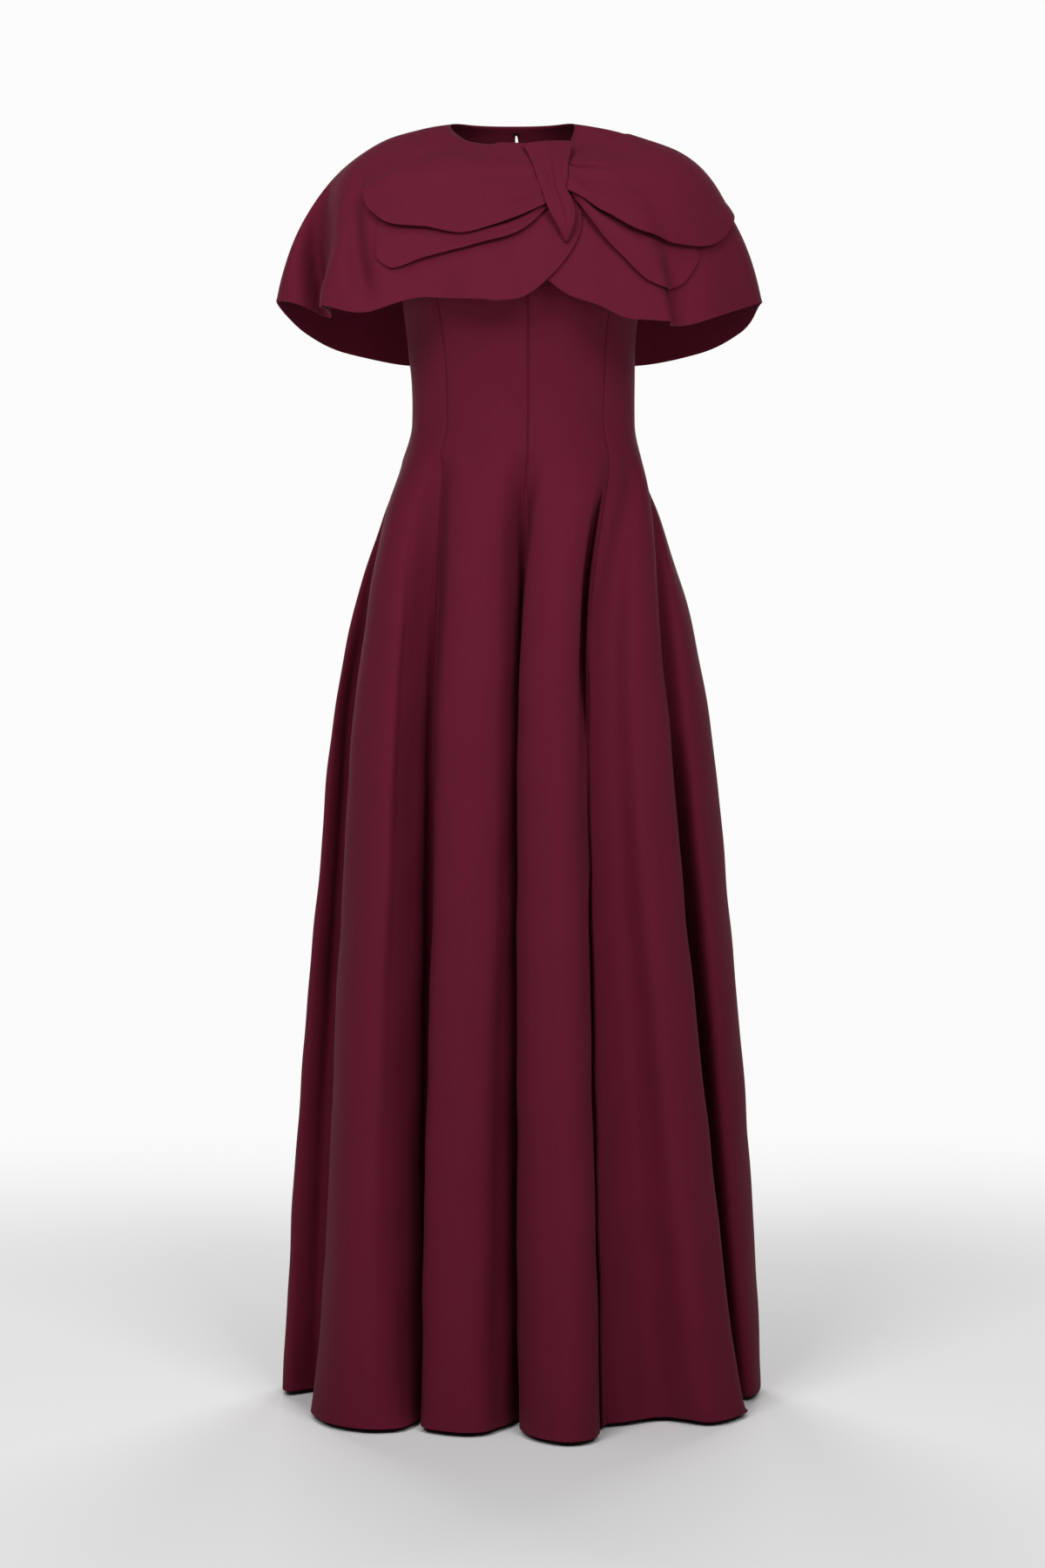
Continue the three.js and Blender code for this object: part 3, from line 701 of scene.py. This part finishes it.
def cape_half(name, flap, front_turn, side):
    deep = curve(flap, "turn", "drop")
    across = near_edges(CAPE_COLUMNS["count"], CAPE_COLUMNS["closeness"])
    down = np.concatenate([np.linspace(0, CAPE_ROWS["to"], CAPE_ROWS["count"]), CAPE_ROWS_OVER_HEM])
    level = (down ** CAPE_ROWS["power"])[:, None] + 0 * across
    # both halves meet at the slit, which one reaches past the centre back
    slit_turn = side * lerp(360 - SLIT["turn"] if side < 0 else SLIT["turn"], 180, level)
    pace = np.linalg.norm(cape_plain(slit_turn, level) - cape_plain(slit_turn + 1, level), axis=-1)
    back_turn = slit_turn - side * slit_half(level) / pace
    turn = lerp(back_turn, front_turn, across)
    drop = level * np.where(level == 0, 1, deep(turn))
    lift = unevenness(cape_plain(turn, drop)) * ease(6 * drop) + tip_hollow(turn, drop) - CAPE_INSET
    lift = lift + CAPE_ROLL["out"] * hump(1 - down, CAPE_ROLL["width"])[:, None]
    if side < 0:
        lift = lift + flap_lift(turn)
    points = on_cape(turn, drop, lift)
    if side > 0:
        points = points[:, ::-1]
    return cloth_piece(name, points)


# The bow in fine rows.
# Creases of a petal, by its node: across the petal where each starts at the band and ends at the tip,
# along between which shares it runs, its height and its width as a share of the petal.
PETAL_CREASES = {
    "petal_upper_left": [
        (0.3, 0.22, -0.05, 0.3, -1.3, 0.05), (0.55, 0.5, -0.1, 0.5, -2.2, 0.07),
        (0.72, 0.8, -0.1, 0.42, 1.6, 0.06), (0.86, 0.9, -0.1, 0.35, -1.8, 0.05),
        (0.25, 0.4, 0.3, 0.95, 2.2, 0.16), (0.75, 0.6, 0.35, 0.9, -1.6, 0.12),
    ],
    "petal_lower_left": [
        (0.3, 0.4, -0.1, 0.6, -1.2, 0.1), (0.65, 0.6, -0.1, 0.75, 1.3, 0.12),
        (0.85, 0.85, 0.1, 0.8, -0.9, 0.08),
    ],
    "petal_upper_right": [
        (0.41, 0.45, -0.08, 0.19, -7, 0.035), (0.52, 0.55, -0.04, 0.22, 1.2, 0.05),
        (0.7, 0.62, -0.1, 0.5, -2, 0.06), (0.85, 0.88, -0.1, 0.45, 1.5, 0.05),
        (0.3, 0.35, 0.3, 0.95, 2.2, 0.18), (0.78, 0.66, 0.4, 0.95, -1.6, 0.12),
    ],
    "petal_lower_right": [
        (0.3, 0.33, -0.1, 0.6, -2.2, 0.13), (0.62, 0.55, -0.1, 0.8, 1.6, 0.14),
        (0.84, 0.8, 0, 0.6, -1.2, 0.08),
    ],
}
# The upper petals' top edges are sewn flat and hardly show from the band up to the first of these shares of
# the way to the tip. From the second on they are free. Sewn flat, an edge lies MELTED off the capelet, and
# the cloth comes away from there over MELT_DEPTH of the petal's width.
PETAL_MELT = {"petal_upper_left": (0.66, 0.78), "petal_upper_right": (0.5, 0.9)}
MELTED = 1.6
MELT_DEPTH = 0.3
PETAL_COLUMNS = {"count": 84, "closeness": 0.6, "power": 1.4}
PETAL_ROWS = {"count": 72, "closeness": 0.45}
# A petal's free edge and middle rise along it like a half wave that began this share of it before the band.
PETAL_START = 0.08


def petal_piece(petal):
    rows = petal["rows"]
    top_turn, top, low_turn, low = (curve(rows, "along", k) for k in ("top_turn", "top", "low_turn", "low"))
    even = near_edges(PETAL_COLUMNS["count"], PETAL_COLUMNS["closeness"])
    u = (1 - (1 - even) ** PETAL_COLUMNS["power"])[None, :]
    v = near_edges(PETAL_ROWS["count"], PETAL_ROWS["closeness"])[:, None]
    turn = lerp(top_turn(u), low_turn(u), v)
    drop = lerp(top(u), low(u), v)
    along = np.sin(np.pi * np.minimum(u + PETAL_START, 1))
    stand = petal["base"] - petal["tuck"] + (petal["edge"] * v + petal["puff"] * np.sin(np.pi * v)) * along
    settled = 1 - ease((u - petal["fade"][0]) / (petal["fade"][1] - petal["fade"][0]))
    lift = petal["tuck"] + flap_lift(turn) + stand * ease(2 * v) * settled
    for v_band, v_tip, u_from, u_to, high, wide in PETAL_CREASES[petal["node"]]:
        share = np.clip((u - u_from) / (u_to - u_from), 0, 1)
        lift = lift + high * np.sin(np.pi * share) ** 0.6 * hump(v - lerp(v_band, v_tip, share), wide)
    if petal["node"] in PETAL_MELT:
        melt_from, melt_to = PETAL_MELT[petal["node"]]
        flat = (1 - ease(v / MELT_DEPTH)) * (1 - ease((u - melt_from) / (melt_to - melt_from)))
        lift = lift - (petal["tuck"] - MELTED) * flat
    points = on_cape(turn, drop, lift)
    if low_turn(1.0) < low_turn(0.0):
        points = points[:, ::-1]
    return cloth_piece(petal["node"], points)


# Near its tip the band settles on the flap.
BAND_SETTLE = {"from": 0.6, "to": 0.684, "down": 1.1}
# Creases along the band: across it where each starts and ends, the drops between which it runs, its height
# and its width as a share of the band.
BAND_CREASES = table(
    "v_top v_low top low height width",
    (0.2, 0.3, 0.08, 0.5, -1.6, 0.07),
    (0.5, 0.42, 0.05, 0.6, 1.5, 0.09),
    (0.68, 0.62, 0.16, 0.66, -2.2, 0.08),
    (0.9, 0.8, 0.1, 0.45, -1.2, 0.06),
)
BAND_ROWS = {"count": 80, "closeness": 0.4}
BAND_COLUMNS = {"count": 28, "closeness": 0.3}


def band_piece():
    left, right, height = (curve(BAND, "drop", k) for k in ("left", "right", "lift"))
    down = near_edges(BAND_ROWS["count"], BAND_ROWS["closeness"])
    drop = lerp(BAND["drop"][0], BAND["drop"][-1], down)[:, None]
    v = near_edges(BAND_COLUMNS["count"], BAND_COLUMNS["closeness"])[None, :]
    turn = lerp(left(drop), right(drop), v)
    lift = height(drop) + BAND_CROWN * np.sin(np.pi * v)
    settled = ease((drop - BAND_SETTLE["from"]) / (BAND_SETTLE["to"] - BAND_SETTLE["from"]))
    lift = lift - BAND_SETTLE["down"] * settled
    for v_top, v_low, top, low, high, wide in zip(*BAND_CREASES.values()):
        share = np.clip((drop - top) / (low - top), 0, 1)
        lift = lift + high * np.sin(np.pi * share) ** 0.7 * hump(v - lerp(v_top, v_low, share), wide)
    return cloth_piece("bow_band", on_cape(turn, drop + 0 * v, lift))


gores = [gore_piece(i) for i in range(len(GORES))]
capes = [
    cape_half("cape_left", FLAP_LEFT, FLAP_LEFT["turn"][-1], -1),
    cape_half("cape_right", FLAP_RIGHT, FLAP_RIGHT["turn"][0], 1),
]
petals = [petal_piece(petal) for petal in PETALS]
band = band_piece()


def declare_sheets():
    for piece in gores + capes + petals + [band]:
        if piece in gores:
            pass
        elif piece in capes:
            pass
        elif piece is band:
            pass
        else:
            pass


declare_sheets()
for material_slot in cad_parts["neck_hook"].material_slots:
    material_slot.material = METAL


# Floor and light.
FLOOR = {"half": 30.0, "under_hem": 6, "colour": (0.86, 0.86, 0.865, 1.0), "glow": 0.96, "fade": (0.9, 2.6)}
WHITE = (1.0, 1.0, 1.0, 1.0)


def make_floor():
    mesh = bpy.data.meshes.new("floor")
    half_side, level = FLOOR["half"], (HEM_Z - FLOOR["under_hem"]) / 1000
    corners = [(x * half_side, y * half_side, level) for x, y in ((-1, -1), (1, -1), (1, 1), (-1, 1))]
    mesh.from_pydata(corners, [], [(0, 1, 2, 3)])
    floor = bpy.data.objects.new("floor", mesh)
    bpy.context.scene.collection.objects.link(floor)
    material, tree, bsdf = new_material("floor_paint")
    bsdf.inputs["Base Color"].default_value = FLOOR["colour"]
    bsdf.inputs["Roughness"].default_value = 0.9
    # further off the floor glows as white as the room, so that no edge of the light shows on it
    place = node(tree, "ShaderNodeTexCoord")
    flat = node(tree, "ShaderNodeVectorMath", operation="MULTIPLY")
    flat.inputs[1].default_value = (1.0, 1.0, 0.0)
    far = node(tree, "ShaderNodeVectorMath", operation="LENGTH")
    fade = node(tree, "ShaderNodeMapRange", interpolation_type="SMOOTHSTEP")
    fade.inputs["From Min"].default_value, fade.inputs["From Max"].default_value = FLOOR["fade"]
    glow = node(tree, "ShaderNodeEmission", Color=WHITE, Strength=FLOOR["glow"])
    mix = node(tree, "ShaderNodeMixShader")
    tree.links.new(place.outputs["Object"], flat.inputs[0])
    tree.links.new(flat.outputs["Vector"], far.inputs[0])
    tree.links.new(far.outputs["Value"], fade.inputs["Value"])
    tree.links.new(fade.outputs["Result"], mix.inputs["Fac"])
    tree.links.new(bsdf.outputs["BSDF"], mix.inputs[1])
    tree.links.new(glow.outputs["Emission"], mix.inputs[2])
    tree.links.new(mix.outputs["Shader"], tree.nodes["Material Output"].inputs["Surface"])
    mesh.materials.append(material)


# Area lights: place, how high they aim on the gown's axis, side in metres and power in watts.
LIGHTS = [
    {"name": "key_left", "place": (-1.3, -2.75, 1.1), "aim": -0.4, "size": 1.3, "power": 54},
    {"name": "key_right", "place": (1.2, -2.8, 1.1), "aim": -0.4, "size": 1.3, "power": 44.5},
    {"name": "top", "place": (-0.3, -1.0, 2.4), "aim": -0.3, "size": 2.0, "power": 28},
    {"name": "back_left", "place": (-1.3, 3.4, 0.9), "aim": -0.6, "size": 2.0, "power": 62},
    {"name": "back_right", "place": (1.3, 3.4, 0.9), "aim": -0.6, "size": 2.0, "power": 62},
]
# The room is near white to the camera and gives only a little light.
ROOM = {"seen": 0.97, "light": 0.04}


def make_lights():
    for lamp in LIGHTS:
        data = bpy.data.lights.new(lamp["name"], "AREA")
        data.size = lamp["size"]
        data.energy = lamp["power"]
        light = bpy.data.objects.new(lamp["name"], data)
        light.location = lamp["place"]
        way = Vector((0.0, 0.0, lamp["aim"])) - Vector(lamp["place"])
        light.rotation_euler = way.to_track_quat("-Z", "Y").to_euler()
        bpy.context.scene.collection.objects.link(light)
    world = bpy.data.worlds.new("studio")
    bpy.context.scene.world = world
    world.use_nodes = True
    tree = world.node_tree
    tree.nodes.clear()
    seen = node(tree, "ShaderNodeBackground", Color=WHITE, Strength=ROOM["seen"])
    lit = node(tree, "ShaderNodeBackground", Color=WHITE, Strength=ROOM["light"])
    ray = node(tree, "ShaderNodeLightPath")
    mix = node(tree, "ShaderNodeMixShader")
    out = node(tree, "ShaderNodeOutputWorld")
    tree.links.new(ray.outputs["Is Camera Ray"], mix.inputs["Fac"])
    tree.links.new(lit.outputs[0], mix.inputs[1])
    tree.links.new(seen.outputs[0], mix.inputs[2])
    tree.links.new(mix.outputs[0], out.inputs["Surface"])


make_floor()
make_lights()
bpy.context.scene.view_settings.view_transform = "Standard"
